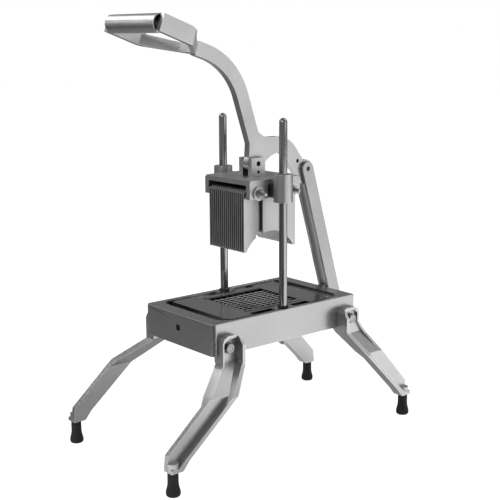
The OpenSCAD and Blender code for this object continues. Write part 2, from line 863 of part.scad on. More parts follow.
module grip_loop() {
    half = grip_w / 2;
    inner = half - grip_wall;
    neck = lever_t / 2 - 1;
    at_grip() translate([0, 0, -grip_h / 2]) difference() {
        linear_extrude(grip_h) polygon([
            [-neck, -grip_back], [-half + corner_r, corner_v],
            [-half + corner_r / 4, corner_v + corner_r * 0.6], [-half, corner_v + corner_r * 1.2],
            [-half, plate_v], [half, plate_v], [half, corner_v + corner_r * 1.2],
            [half - corner_r / 4, corner_v + corner_r * 0.6], [half - corner_r, corner_v],
            [neck, -grip_back]]);
        translate([0, 0, -1]) linear_extrude(grip_h + 2) polygon([
            [-web_half, web_v], [-inner + corner_r, corner_v + 2], [-inner, corner_v + corner_r + 2],
            [-inner, plate_v + 1], [inner, plate_v + 1],
            [inner, corner_v + corner_r + 2], [inner - corner_r, corner_v + 2], [web_half, web_v]]);
    }
}

// The bar has a cup in each end, and a spigot that stands in the cup and enters the side plate
module grip_bar() {
    inner = grip_w / 2 - grip_wall;
    cup_x = inner - cup_l;
    color("lightgray") at_work() translate([0, 0, pivot_z]) at_grip() translate([0, bar_v, 0]) {
        difference() {
            x_rod(grip_d, -inner, inner);
            for (s = [-1, 1]) mirror([s < 0 ? 1 : 0, 0, 0])
                x_rod(grip_d - 2 * cup_t, cup_x, inner + 1);
        }
        for (s = [-1, 1]) mirror([s < 0 ? 1 : 0, 0, 0])
            translate([0, -spigot_in, 0]) x_rod(spigot_d, cup_x - 1, inner + spigot_l);
    }
}

// Links
module link_bar(s) {
    color("silver") at_work() translate([0, foot_pin_back, foot_pin_z])
        mirror([s < 0 ? 1 : 0, 0, 0]) side_plate(link_in, link_out) difference() {
            rotate(link_a + 180) union() {
                circle(d = link_w);
                translate([0, -link_w / 2]) square([link_len, link_w]);
                translate([link_len, 0]) circle(d = link_w);
            }
            circle(d = pin_d + 2 * run_fit);
            rotate(link_a + 180) translate([link_len, 0]) circle(d = top_pin_d);
        }
}

module link_bar_right() {
    link_bar(1);
}

module link_bar_left() {
    link_bar(-1);
}

module upper_link_pin() {
    color("gainsboro") at_work() translate([0, link_y, pivot_z + link_z])
        x_rod(top_pin_d, -link_out + top_pin_sink, link_out - top_pin_sink);
}

module lower_link_pin() {
    color("gainsboro") at_work() translate([0, foot_pin_back, foot_pin_z])
        x_rod(pin_d, -link_out, link_out);
}

base_frame();
leg_front_right();
leg_front_left();
leg_rear_right();
leg_rear_left();
foot_front_right();
foot_front_left();
foot_rear_right();
foot_rear_left();
foot_studs();
leg_bolts();
leg_washers();
leg_nuts();
guide_rod_right();
guide_rod_left();
rod_bumpers();
rod_washers();
rod_nuts();
blade_plate();
upper_blades();
lower_blades();
blade_keeper();
keeper_screws();
plate_dowels();
head_casting();
bushing_right();
bushing_left();
finger_plates();
outer_finger_plates();
finger_spacers();
tie_rod_front();
tie_rod_rear();
tie_rod_nuts();
lever_pin();
lever_arm();
grip_bar();
link_bar_right();
link_bar_left();
upper_link_pin();
lower_link_pin();
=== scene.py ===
# %% [markdown]
# This lesson dresses a imported CAD model of a hand-operated onion cutter.
# The CAD parts arrive as a fixed frame in metres, with Z up and the grip at -Y.

# %% Load the frame
import json
import math
import bpy
from mathutils import Matrix, Vector

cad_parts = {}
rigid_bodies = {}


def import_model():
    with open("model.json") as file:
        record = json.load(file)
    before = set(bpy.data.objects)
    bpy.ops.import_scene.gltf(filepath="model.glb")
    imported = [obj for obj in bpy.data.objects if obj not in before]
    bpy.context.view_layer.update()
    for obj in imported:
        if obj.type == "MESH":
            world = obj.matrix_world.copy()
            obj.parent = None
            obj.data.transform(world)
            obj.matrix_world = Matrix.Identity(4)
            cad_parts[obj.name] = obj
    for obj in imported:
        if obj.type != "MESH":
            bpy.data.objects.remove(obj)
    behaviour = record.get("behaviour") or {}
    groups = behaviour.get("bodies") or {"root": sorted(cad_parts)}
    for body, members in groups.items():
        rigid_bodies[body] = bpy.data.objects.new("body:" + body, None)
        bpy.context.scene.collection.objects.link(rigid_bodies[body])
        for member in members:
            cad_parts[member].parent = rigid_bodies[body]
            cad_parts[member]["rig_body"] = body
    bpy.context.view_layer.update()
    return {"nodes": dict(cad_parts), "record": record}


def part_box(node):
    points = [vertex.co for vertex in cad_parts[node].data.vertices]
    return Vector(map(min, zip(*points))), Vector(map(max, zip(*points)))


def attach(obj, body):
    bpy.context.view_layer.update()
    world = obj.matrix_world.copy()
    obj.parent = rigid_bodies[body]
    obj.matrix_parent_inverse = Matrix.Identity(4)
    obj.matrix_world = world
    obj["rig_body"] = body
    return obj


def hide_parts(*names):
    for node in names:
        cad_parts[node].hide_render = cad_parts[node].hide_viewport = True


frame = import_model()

nodes = frame["nodes"]
scene = bpy.context.scene
slot_of = {s["node"]: s["material_slot"] for s in frame["record"]["subparts"]}

# %% [markdown]
# The camera stands in front of the machine's right corner, a little above the blade grid.
# Its place and turn were found by fitting one pinhole camera to the photograph, so they are written as plain numbers.
# The three axes below are the camera's right, up and backward directions.

# %% Camera
SENSOR_MM = 36.0
PICTURE_PX = 500.0
FOCAL_PX = 1043.48
CAMERA_PLACE = (1.17757, -0.97201, 0.59382)

camera_data = bpy.data.cameras.new("camera")
camera = bpy.data.objects.new("camera", camera_data)
scene.collection.objects.link(camera)
camera_data.sensor_width = SENSOR_MM
camera_data.lens = SENSOR_MM * FOCAL_PX / PICTURE_PX
camera_data.clip_start = 0.05
camera_data.clip_end = 60.0
right = Vector((0.640109, 0.768267, -0.005172))
up = Vector((-0.150811, 0.132248, 0.979677))
back = Vector((0.753337, -0.626320, 0.200516))
turn = Matrix((right, up, back)).transposed().to_4x4()
camera.matrix_world = Matrix.Translation(CAMERA_PLACE) @ turn
scene.camera = camera
print("lens:", round(camera_data.lens, 2), "mm")

# %% [markdown]
# Satin metal shows what stands around it, so the studio matters as much as the finish.
# The floor is pale, and camera rays see it and the world behind it lifted to white, while the floor keeps its shadow.
# Reflections see the same white floor, but it falls off close to the machine, where a real floor lies in its shade.

# %% Floor and world
FLOOR_SIZE = 16
FLOOR_GREY = 0.55
FLOOR_GLOW = 0.92
SHADED_GLOW = 0.10
SHADE_FROM, SHADE_TO = 0.22, 0.40
WORLD_GREY = 0.22
scene.view_settings.view_transform = "Standard"


def grey_of(level):
    return (level, level, level, 1)


def set_inputs(node, **values):
    for label, value in values.items():
        node.inputs[label.replace("_", " ").title()].default_value = value


def studio_white():
    m = bpy.data.materials.new("studio_white")
    m.use_nodes = True
    t = m.node_tree
    t.nodes.clear()
    out = t.nodes.new("ShaderNodeOutputMaterial")
    path = t.nodes.new("ShaderNodeLightPath")
    place = t.nodes.new("ShaderNodeTexCoord")
    reach = t.nodes.new("ShaderNodeVectorMath")
    reach.operation = "LENGTH"
    shade = t.nodes.new("ShaderNodeMapRange")
    shade.interpolation_type = "SMOOTHSTEP"
    set_inputs(shade, from_min=SHADE_FROM, from_max=SHADE_TO, to_min=SHADED_GLOW, to_max=FLOOR_GLOW)
    level = t.nodes.new("ShaderNodeMix")
    level.inputs["A"].default_value = FLOOR_GLOW
    seen = t.nodes.new("ShaderNodeMath")
    seen.operation = "MAXIMUM"
    seen_all = t.nodes.new("ShaderNodeMath")
    seen_all.operation = "MAXIMUM"
    paper = t.nodes.new("ShaderNodeBsdfDiffuse")
    set_inputs(paper, color=grey_of(FLOOR_GREY))
    glow = t.nodes.new("ShaderNodeEmission")
    lifted = t.nodes.new("ShaderNodeAddShader")
    mix = t.nodes.new("ShaderNodeMixShader")
    t.links.new(place.outputs["Object"], reach.inputs[0])
    t.links.new(reach.outputs["Value"], shade.inputs["Value"])
    t.links.new(path.outputs["Is Glossy Ray"], level.inputs["Factor"])
    t.links.new(shade.outputs["Result"], level.inputs["B"])
    t.links.new(level.outputs["Result"], glow.inputs["Strength"])
    t.links.new(path.outputs["Is Camera Ray"], seen.inputs[0])
    t.links.new(path.outputs["Is Glossy Ray"], seen.inputs[1])
    t.links.new(seen.outputs[0], seen_all.inputs[0])
    t.links.new(path.outputs["Is Transmission Ray"], seen_all.inputs[1])
    t.links.new(paper.outputs[0], lifted.inputs[0])
    t.links.new(glow.outputs[0], lifted.inputs[1])
    t.links.new(seen_all.outputs[0], mix.inputs[0])
    t.links.new(paper.outputs[0], mix.inputs[1])
    t.links.new(lifted.outputs[0], mix.inputs[2])
    t.links.new(mix.outputs[0], out.inputs["Surface"])
    return m


def stage_plane(name, size, place, turned_by, finish):
    bpy.ops.object.select_all(action="DESELECT")
    bpy.ops.mesh.primitive_plane_add(size=1.0, location=place, rotation=turned_by)
    o = bpy.context.object
    o.name = name
    o.scale = (size[0], size[1], 1)
    bpy.ops.object.transform_apply(location=False, rotation=False, scale=True)
    o.data.materials.append(finish)
    return o


floor = stage_plane("floor", (FLOOR_SIZE, FLOOR_SIZE), (0, 0, 0), (0, 0, 0), studio_white())
behind = -back.copy()
behind.z = 0
behind.normalize()

world = bpy.data.worlds.new("studio")
scene.world = world
world.use_nodes = True
tree = world.node_tree
dim = tree.nodes["Background"]
set_inputs(dim, color=grey_of(WORLD_GREY))
bright = tree.nodes.new("ShaderNodeBackground")
set_inputs(bright, color=grey_of(1))
ray = tree.nodes.new("ShaderNodeLightPath")
either = tree.nodes.new("ShaderNodeMixShader")
tree.links.new(ray.outputs["Is Camera Ray"], either.inputs[0])
tree.links.new(dim.outputs[0], either.inputs[1])
tree.links.new(bright.outputs[0], either.inputs[2])
tree.links.new(either.outputs[0], tree.nodes["World Output"].inputs["Surface"])
print("floor:", floor.name, "world:", world.name)

# %% [markdown]
# A photographer darkens one side of bright metal with black and grey cards that stay out of the picture.
# Here they lie on the floor, measured from the machine as the camera sees it, and only reflections see them.
# The black and dim cards on the left darken the front faces and the left halves of the rods.
# The grey card behind darkens the level faces, and the front cards draw a dark line down round corners.
# The flag hangs above the left side and keeps that lamp out of the low parts.

# %% Cards
side = right.copy()
side.z = 0
side.normalize()
spin = math.atan2(side.y, side.x)
CARD_GREY = 0.02
CARDS = (
    # name, tone, left, right, near, far, height
    ("black_card", 0.06, -8.0, -1.05, -8.0, 6.0, 0.004),
    ("dim_card", 0.16, -1.05, -0.32, -8.0, 6.0, 0.004),
    ("grey_card", 0.22, -0.32, 7.0, 0.5, 6.4, 0.006),
    ("front_card", 0.04, -0.32, 1.6, -8.0, -4.0, 0.005),
    ("front_card", 0.04, -0.32, 0.75, -4.0, -1.7, 0.005),
    ("front_card", 0.04, -0.32, 0.55, -1.7, -1.0, 0.005),
    ("front_card", 0.04, -0.32, 0.36, -1.0, -0.4, 0.005),
    ("corner_card", 0.03, -0.85, -0.32, -1.3, -0.55, 0.005),
    ("flag_card", 0.03, -2.0, -0.72, -1.0, 1.2, 0.9),
)


def card(name, tone, left, far_right, near, far, height):
    paper = bpy.data.materials.new(name + "_paper")
    paper.use_nodes = True
    shader = paper.node_tree.nodes["Principled BSDF"]
    set_inputs(shader, base_color=grey_of(CARD_GREY), emission_color=grey_of(1), emission_strength=tone)
    centre = side * (left + far_right) / 2 + behind * (near + far) / 2 + Vector((0, 0, height))
    o = stage_plane(name, (far_right - left, far - near), centre, (0, 0, spin), paper)
    o.visible_camera = False
    o.visible_diffuse = False
    o.visible_shadow = False
    o.visible_transmission = False


for row in CARDS:
    card(*row)

# %% [markdown]
# A low, wide key lamp stands on the right and behind.
# One soft box on the left lights whatever leans up towards the front, such as the top of the grip.
# A broad one hangs behind and above for the sloping parts of the legs, and a fill lamp stands in front.
# All are weak, because the white floor already does most of the work.

# %% Lamps
LAMPS = (
    # name, place, target, size, watts
    ("key", (1.9, 1.15, 0.72), (0, 0, 0.15), (1.9, 0.6), 2.8),
    ("left", (-0.85, -0.75, 1.15), (0, -0.15, 0.6), (1.5, 0.7), 7),
    ("top", (0.5, 1.56, 2.2), (0, 0, 0.25), (2.0, 2.0), 10),
    ("fill", (0.7, -2.35, 1.45), (0, -0.1, 0.55), (1.2, 0.9), 10),
)


def lamp(name, place, target, size, watts):
    data = bpy.data.lights.new(name, "AREA")
    data.shape = "RECTANGLE"
    data.size, data.size_y = size
    data.energy = watts
    o = bpy.data.objects.new(name, data)
    scene.collection.objects.link(o)
    o.location = place
    o.rotation_euler = (Vector(target) - Vector(place)).to_track_quat("-Z", "Y").to_euler()


for row in LAMPS:
    lamp(*row)

# %% [markdown]
# Cast aluminium that has been tumbled and handled is never one grey.
# Large soft clouds change its tone and a fine grain roughens it.
# Edges are lighter, partly from wear and partly as a painted highlight, and inner corners get painted shade.
# Object coordinates keep the grain at its real size, because every piece is in metres.

# %% Helpers for finishes
SHADER_SAMPLES = 4
BUMP_DEPTH = 0.0003


def new_finish(name):
    m = bpy.data.materials.new(name)
    m.use_nodes = True
    return m, m.node_tree, m.node_tree.nodes["Principled BSDF"]


def noise(t, scale, detail, stretch=(1, 1, 1)):
    place = t.nodes.new("ShaderNodeTexCoord")
    mapping = t.nodes.new("ShaderNodeMapping")
    set_inputs(mapping, scale=stretch)
    n = t.nodes.new("ShaderNodeTexNoise")
    set_inputs(n, scale=scale, detail=detail)
    t.links.new(place.outputs["Object"], mapping.inputs["Vector"])
    t.links.new(mapping.outputs["Vector"], n.inputs["Vector"])
    return n.outputs["Fac"]


def remap(t, value, lo, hi, out_lo, out_hi):
    r = t.nodes.new("ShaderNodeMapRange")
    set_inputs(r, from_min=lo, from_max=hi, to_min=out_lo, to_max=out_hi)
    t.links.new(value, r.inputs["Value"])
    return r.outputs["Result"]


def sums(t, kind, a, b):
    n = t.nodes.new("ShaderNodeMath")
    n.operation = kind
    t.links.new(a, n.inputs[0])
    if isinstance(b, float):
        n.inputs[1].default_value = b
    else:
        t.links.new(b, n.inputs[1])
    return n.outputs[0]


# Partly wear, partly painted highlight: rounded edges are given a lighter colour.
def wear_and_edge_highlight(t, radius):
    rounded = t.nodes.new("ShaderNodeBevel")
    rounded.samples = SHADER_SAMPLES
    set_inputs(rounded, radius=radius)
    flat = t.nodes.new("ShaderNodeNewGeometry")
    dot = t.nodes.new("ShaderNodeVectorMath")
    dot.operation = "DOT_PRODUCT"
    t.links.new(rounded.outputs["Normal"], dot.inputs[0])
    t.links.new(flat.outputs["Normal"], dot.inputs[1])
    return remap(t, dot.outputs["Value"], 0.99, 0.80, 0.0, 1.0)


def bumps(t, shader, height, strength):
    b = t.nodes.new("ShaderNodeBump")
    set_inputs(b, strength=strength, distance=BUMP_DEPTH)
    t.links.new(height, b.inputs["Height"])
    t.links.new(b.outputs["Normal"], shader.inputs["Normal"])


def height_of(t):
    place = t.nodes.new("ShaderNodeTexCoord")
    apart = t.nodes.new("ShaderNodeSeparateXYZ")
    t.links.new(place.outputs["Object"], apart.inputs["Vector"])
    return apart.outputs["Z"]


def upward(t):
    flat = t.nodes.new("ShaderNodeNewGeometry")
    apart = t.nodes.new("ShaderNodeSeparateXYZ")
    t.links.new(flat.outputs["Normal"], apart.inputs["Vector"])
    return apart.outputs["Z"]


# Painted shade: ambient occlusion that darkens the colour in corners and recesses.
def painted_corner_shade(t, reach):
    ao = t.nodes.new("ShaderNodeAmbientOcclusion")
    ao.samples = SHADER_SAMPLES
    set_inputs(ao, distance=reach)
    return ao.outputs["AO"]


print("helpers ready")

# %% [markdown]
# The metal finishes share one recipe: a tone from clouds and grain, lighter edges that are partly wear and partly
# painted highlight, painted shade in corners and varying gloss.
# The numbers say how bright, how rough and how coarse each one is.
# The stretch draws the grain out into brushed lines.
# Rub and reach say how wide the lighter edges and the painted corner shade are.
# The side and top settings paint shade on faces by the way they face, and a blade finish gives the height where a
# blade's bright edge begins, with painted shade on the sides below it.

# %% Metal finishes
CLOUD_SCALE = 16.0
CLOUD_SHARE = 0.6
BRIGHTEST = 0.95
SHADE_BLEND = 0.0002
SHADED_SIDE = 0.05


def metal(name, tone, spread, rough, rough_spread, grain, bump, stretch=(1, 1, 1), tint=(1, 1, 1),
          wear_and_highlight=0.0, corner_shade=0.0, shade_below=None, side_shade=1.0, top_shade=1.0, reach=0.03, rub=0.0016):
    m, t, shader = new_finish(name)
    cloud = noise(t, CLOUD_SCALE, 5.0)
    fine = noise(t, grain, 4.0, stretch)
    both = sums(t, "ADD", sums(t, "MULTIPLY", cloud, CLOUD_SHARE), sums(t, "MULTIPLY", fine, 1.0 - CLOUD_SHARE))
    grey = remap(t, both, 0.34, 0.66, tone - spread, tone + spread)
    # Partly wear, partly painted highlight: edges get a lighter colour.
    if wear_and_highlight:
        grey = sums(t, "ADD", grey, sums(t, "MULTIPLY", wear_and_edge_highlight(t, rub), wear_and_highlight))
        grey = sums(t, "MINIMUM", grey, BRIGHTEST)
    # Painted shade: corners, gaps and recesses get a darker colour.
    if corner_shade:
        grey = sums(t, "MULTIPLY", grey, remap(t, painted_corner_shade(t, reach), 0.12, 0.72, 1.0 - corner_shade, 1.0))
    # Painted shade: faces that do not face up are darkened.
    if side_shade < 1.0:
        grey = sums(t, "MULTIPLY", grey, remap(t, upward(t), 0.3, 0.8, side_shade, 1.0))
    # Painted shade: faces that face up are darkened.
    if top_shade < 1.0:
        grey = sums(t, "MULTIPLY", grey, remap(t, upward(t), 0.1, 0.5, 1.0, top_shade))
    # Painted shade: a blade's sides below the given height are darkened.
    if shade_below:
        edge = remap(t, height_of(t), shade_below - SHADE_BLEND, shade_below, SHADED_SIDE, 1.0)
        grey = sums(t, "MULTIPLY", grey, edge)
    colour = t.nodes.new("ShaderNodeCombineColor")
    for channel, share in zip(("Red", "Green", "Blue"), tint):
        t.links.new(sums(t, "MULTIPLY", grey, float(share)), colour.inputs[channel])
    t.links.new(colour.outputs["Color"], shader.inputs["Base Color"])
    t.links.new(remap(t, fine, 0.3, 0.7, rough - rough_spread, rough + rough_spread), shader.inputs["Roughness"])
    bumps(t, shader, fine, bump)
    set_inputs(shader, metallic=1.0)
    return m


METALS = {
    # tone, spread, rough, rough_spread, grain, bump, then what else the finish needs
    "cast_aluminium": ((0.60, 0.06, 0.34, 0.08, 850, 0.22), dict(wear_and_highlight=0.34, corner_shade=0.80)),
    "finger_aluminium": ((0.58, 0.05, 0.36, 0.06, 500, 0.12),
                         dict(stretch=(1, 1, 0.06), wear_and_highlight=0.10, corner_shade=0.5, top_shade=0.25)),
    "polished_aluminium": ((0.72, 0.03, 0.36, 0.03, 900, 0.02), dict(stretch=(1.0, 0.05, 0.05))),
    "leg_aluminium": ((0.60, 0.06, 0.34, 0.08, 850, 0.22), dict(wear_and_highlight=0.45, corner_shade=0.75, reach=0.011, rub=0.0024)),
    "base_aluminium": ((0.52, 0.03, 0.29, 0.03, 700, 0.05), dict(wear_and_highlight=0.34, corner_shade=0.80)),
    "head_aluminium": ((0.60, 0.04, 0.40, 0.04, 700, 0.08), dict(wear_and_highlight=0.34, corner_shade=0.62)),
    "plate_aluminium": ((0.42, 0.04, 0.20, 0.04, 700, 0.05),
                        dict(stretch=(1, 0.08, 1), wear_and_highlight=0.25, corner_shade=0.8, side_shade=0.3)),
    "link_aluminium": ((0.53, 0.05, 0.38, 0.07, 850, 0.22), dict(wear_and_highlight=0.30, corner_shade=0.15)),
    "dark_steel": ((0.10, 0.03, 0.40, 0.06, 500, 0.08), {}),
    "rod_steel": ((0.42, 0.02, 0.11, 0.02, 700, 0.01), dict(stretch=(0.06, 0.06, 1.0))),
    "blade_steel": ((0.70, 0.04, 0.36, 0.06, 600, 0.08), dict(shade_below=0.2025)),
    "low_blade_steel": ((0.70, 0.04, 0.36, 0.06, 600, 0.08), dict(shade_below=0.2019)),
    "fastener_steel": ((0.44, 0.06, 0.32, 0.08, 500, 0.08), dict(wear_and_highlight=0.12, corner_shade=0.7)),
    "bronze": ((0.36, 0.04, 0.34, 0.06, 500, 0.08), dict(stretch=(1, 1, 0.1), tint=(1.0, 0.88, 0.7))),
}
finish_of = {name: metal(name, *basic, **more) for name, (basic, more) in METALS.items()}
print("metals:", sorted(finish_of))

# %% [markdown]
# The feet and the rings at the rod ends are black rubber.
# Rubber is dull and slightly speckled, and its gloss changes in soft patches.

# %% Rubber finish
RUBBER_GREYS = (0.010, 0.030)
RUBBER_ROUGHNESS = (0.48, 0.66)


def rubber():
    m, t, shader = new_finish("black_rubber")
    speck = noise(t, 900.0, 4.0)
    cloud = noise(t, 60.0, 3.0)
    both = sums(t, "ADD", sums(t, "MULTIPLY", speck, 0.5), sums(t, "MULTIPLY", cloud, 0.5))
    grey = remap(t, both, 0.35, 0.65, *RUBBER_GREYS)
    colour = t.nodes.new("ShaderNodeCombineColor")
    for channel in ("Red", "Green", "Blue"):
        t.links.new(grey, colour.inputs[channel])
    t.links.new(colour.outputs["Color"], shader.inputs["Base Color"])
    t.links.new(remap(t, cloud, 0.3, 0.7, *RUBBER_ROUGHNESS), shader.inputs["Roughness"])
    bumps(t, shader, speck, 0.3)
    return m


finish_of["black_rubber"] = rubber()
for name, node in nodes.items():
    node.data.materials.clear()
    node.data.materials.append(finish_of[slot_of[name]])
print("finishes:", sorted(finish_of))

# %% [markdown]
# A casting has no sharp edges, but its CAD solid does.
# We copy the solid's mesh, merge its loose triangles and dissolve the flat ones into whole faces.
# A bevel then takes every edge by its angle.
# Blender holds the bevel back to what the tightest spot allows, which can be very little.
# On the base, two front corners and the outer rim are rounded first, because they show most.
# The copy then stands for the node, in the same place.

# %% Softened castings
MERGE = 0.00002
FLAT = math.radians(1.2)
SHARP = math.radians(28)
SMOOTH = math.radians(32)
CORNER_ROUND = 0.008
RIM_ROUND = 0.0014
MARGIN = 0.001
CLOSE = 0.00005


def fresh_start():
    if bpy.context.mode != "OBJECT":
        bpy.ops.object.mode_set(mode="OBJECT")
    bpy.ops.object.select_all(action="DESELECT")


def dress(piece, *node_names, finish=None):
    first = node_names[0]
    piece.data.materials.clear()
    piece.data.materials.append(finish_of[finish or slot_of[first]])
    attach(piece, nodes[first]["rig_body"])
    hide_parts(*node_names)
    return piece


def take_up(piece):
    fresh_start()
    piece.select_set(True)
    bpy.context.view_layer.objects.active = piece


def merged_copy(node_name, copy_name, merge):
    piece = bpy.data.objects.new(copy_name, nodes[node_name].data.copy())
    scene.collection.objects.link(piece)
    take_up(piece)
    bpy.ops.object.mode_set(mode="EDIT")
    bpy.ops.mesh.select_all(action="SELECT")
    bpy.ops.mesh.remove_doubles(threshold=merge)
    return piece


def softened(name, width, merge=MERGE, segments=2, finish=None, shape=None):
    piece = merged_copy(name, name + "_soft", merge)
    bpy.ops.mesh.dissolve_limited(angle_limit=FLAT)
    bpy.ops.object.mode_set(mode="OBJECT")
    if shape:
        shape(piece)
    edge = piece.modifiers.new("edge", "BEVEL")
    edge.width = width
    edge.segments = segments
    edge.limit_method = "ANGLE"
    edge.angle_limit = SHARP
    bpy.ops.object.modifier_apply(modifier="edge")
    bpy.ops.object.shade_smooth_by_angle(angle=SMOOTH)
    even = piece.modifiers.new("even", "WEIGHTED_NORMAL")
    even.keep_sharp = True
    bpy.ops.object.modifier_apply(modifier="even")
    dress(piece, name, finish=finish)
    print(name, "faces:", len(piece.data.polygons))


def take_away(piece, block):
    take_up(piece)
    cut = piece.modifiers.new("cut", "BOOLEAN")
    cut.operation = "DIFFERENCE"
    cut.solver = "EXACT"
    cut.object = block
    bpy.ops.object.modifier_apply(modifier="cut")
    bpy.data.objects.remove(block)


def on_rim(spot, wide, front, top):
    x = abs(spot.x)
    near_outside = x > wide - CORNER_ROUND - MARGIN / 2 or spot.y < front + CORNER_ROUND + MARGIN / 2
    from_corner = math.hypot(x - wide + CORNER_ROUND, spot.y - front - CORNER_ROUND)
    at_wall = x > wide - CLOSE or spot.y < front + CLOSE or from_corner > CORNER_ROUND - 2 * CLOSE
    return abs(spot.z - top) < CLOSE and near_outside and at_wall


def round_base(piece):
    (_, front, low), (wide, _, top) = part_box("base_frame")
    middle = (low + top) / 2
    size = CORNER_ROUND + MARGIN
    inset = (CORNER_ROUND - MARGIN) / 2
    for hand in (1, -1):
        fresh_start()
        bpy.ops.mesh.primitive_cube_add(size=1, location=(hand * (wide - inset), front + inset, middle))
        block = bpy.context.object
        block.scale = (size, size, top - low + 10 * MARGIN)
        bpy.ops.object.transform_apply(location=True, rotation=True, scale=True)
        bpy.ops.mesh.primitive_cylinder_add(
            vertices=64, radius=CORNER_ROUND, depth=top - low + 30 * MARGIN,
            location=(hand * (wide - CORNER_ROUND), front + CORNER_ROUND, middle))
        take_away(block, bpy.context.object)
        take_away(piece, block)
    bpy.ops.object.mode_set(mode="EDIT")
    bpy.ops.mesh.select_mode(type="EDGE")
    bpy.ops.mesh.select_all(action="DESELECT")
    bpy.ops.object.mode_set(mode="OBJECT")
    spots = [v.co for v in piece.data.vertices]
    rim = [e for e in piece.data.edges if all(on_rim(spots[i], wide, front, top) for i in e.vertices)]
    for edge in rim:
        edge.select = True
    bpy.ops.object.mode_set(mode="EDIT")
    bpy.ops.mesh.bevel(offset=RIM_ROUND, segments=3, affect="EDGES")
    bpy.ops.object.mode_set(mode="OBJECT")
    print("base rim edges rounded:", len(rim))


for name in ("leg_front_right", "leg_front_left", "leg_rear_right", "leg_rear_left"):
    softened(name, 0.0022, segments=3, finish="leg_aluminium")
softened("base_frame", 0.0012, finish="base_aluminium", shape=round_base)
softened("blade_plate", 0.0006, finish="plate_aluminium")
softened("blade_keeper", 0.0004)
softened("head_casting", 0.0014, finish="head_aluminium")
for name in ("link_bar_right", "link_bar_left"):
    softened(name, 0.0008, finish="link_aluminium")
for name in ("finger_plates", "outer_finger_plates"):
    softened(name, 0.0003)

# %% [markdown]
# The lever ends in a loop of four sides: two plates, a low web behind and the bar that the hand holds.
# On the real casting the web is a slim strip along the lower edge, and its underside rises towards the neck.
# Blocks tilted like the loop are taken away from the copy: above the web, off the rear corners and under the web.
# The bar is a little thicker than its CAD solid, so its copy is scaled about its own middle.

# %% Lever and grip
LOOP_TILT = math.radians(20)
INSIDE = 0.057
OUTSIDE = 0.068
BAR_SWELL = 1.055
LOOP_CUTS = (
    # half width, front, back, low, high, rise of the upper back edge, dip of the lower back edge
    (INSIDE, 0.050, 0.0935, 0.005, 0.014, 0.0, 0.0),
    (OUTSIDE, 0.0568, 0.1020, 0.0055, 0.014, 0.0, 0.0),
    (OUTSIDE, 0.0505, 0.0570, 0.0098, 0.016, 0.0, -0.0043),
    (OUTSIDE, 0.0440, 0.0506, 0.012, 0.016, 0.0, -0.0022),
    (OUTSIDE, 0.0555, 0.1018, -0.016, -0.012, 0.005, 0.0),
)
bar_low, bar_high = [Vector(c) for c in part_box("grip_bar")]
bar_middle = (bar_low + bar_high) / 2


def loop_block(half_width, front, back, low, high, rise, dip):
    fresh_start()
    bpy.ops.mesh.primitive_cube_add(size=1.0)
    block = bpy.context.object
    bpy.ops.object.mode_set(mode="EDIT")
    bpy.ops.mesh.select_all(action="SELECT")
    bpy.ops.transform.resize(value=(2 * half_width, back - front, high - low))
    bpy.ops.transform.translate(value=(0, (front + back) / 2, (low + high) / 2))
    for level, shift in ((high, rise), (low, dip)):
        bpy.ops.mesh.select_all(action="DESELECT")
        bpy.ops.mesh.select_mode(type="VERT")
        bpy.ops.object.mode_set(mode="OBJECT")
        for v in block.data.vertices:
            v.select = v.co.y > back - 2 * CLOSE and abs(v.co.z - level) < 2 * CLOSE
        bpy.ops.object.mode_set(mode="EDIT")
        bpy.ops.transform.translate(value=(0, 0, shift))
    bpy.ops.object.mode_set(mode="OBJECT")
    block.rotation_euler = (-LOOP_TILT, 0, 0)
    block.location = bar_middle
    bpy.ops.object.transform_apply(location=True, rotation=True, scale=True)
    return block


def slim_web(piece):
    for cut in LOOP_CUTS:
        take_away(piece, loop_block(*cut))


def swell(piece):
    bpy.ops.object.mode_set(mode="EDIT")
    bpy.ops.mesh.select_all(action="SELECT")
    bpy.ops.transform.resize(value=(1, BAR_SWELL, BAR_SWELL), center_override=bar_middle)
    bpy.ops.object.mode_set(mode="OBJECT")


softened("lever_arm", 0.0018, merge=0.00025, segments=3, shape=slim_web)
softened("grip_bar", 0.0005, shape=swell)

# %% [markdown]
# Many small pieces are turned on a lathe: feet, rods, washers, pins and bushings.
# In edit mode a lathe is a disc that is extruded ring by ring, and each new ring is scaled to the next radius.
# A piece with a bore starts from an open ring instead, and its last ring is merged with the first.

# %% Turning helper
TURNED_MERGE = 0.000005
TURNED_SMOOTH = math.radians(38)


def turned(name, profile, steps=40, bored=False):
    fresh_start()
    radius, height = profile[0]
    fill = "NOTHING" if bored else "NGON"
    bpy.ops.mesh.primitive_circle_add(vertices=steps, radius=radius, fill_type=fill)
    piece = bpy.context.object
    piece.name = name
    bpy.ops.object.mode_set(mode="EDIT")
    bpy.ops.mesh.select_all(action="SELECT")
    bpy.ops.transform.translate(value=(0, 0, height))
    rings = list(profile) + ([profile[0]] if bored else [])
    for (r0, z0), (r1, z1) in zip(rings, rings[1:]):
        bpy.ops.mesh.extrude_region_move(TRANSFORM_OT_translate={"value": (0, 0, z1 - z0)})
        bpy.ops.transform.resize(value=(r1 / r0, r1 / r0, 1), center_override=(0, 0, z1))
    bpy.ops.mesh.select_all(action="SELECT")
    bpy.ops.mesh.remove_doubles(threshold=TURNED_MERGE)
    bpy.ops.mesh.normals_make_consistent(inside=False)
    bpy.ops.object.mode_set(mode="OBJECT")
    bpy.ops.object.shade_smooth_by_angle(angle=TURNED_SMOOTH)
    return piece


def mm(*points):
    return [(r / 1000, z / 1000) for r, z in points]


print("lathe ready")

# %% [markdown]
# What repeats is modelled once and copied to every place the CAD gives it.
# A CAD node may hold several solids, so a copy of its mesh is merged and taken apart.
# The box of each solid then tells where a copy goes.

# %% Places and copies
HAIR = 0.00001


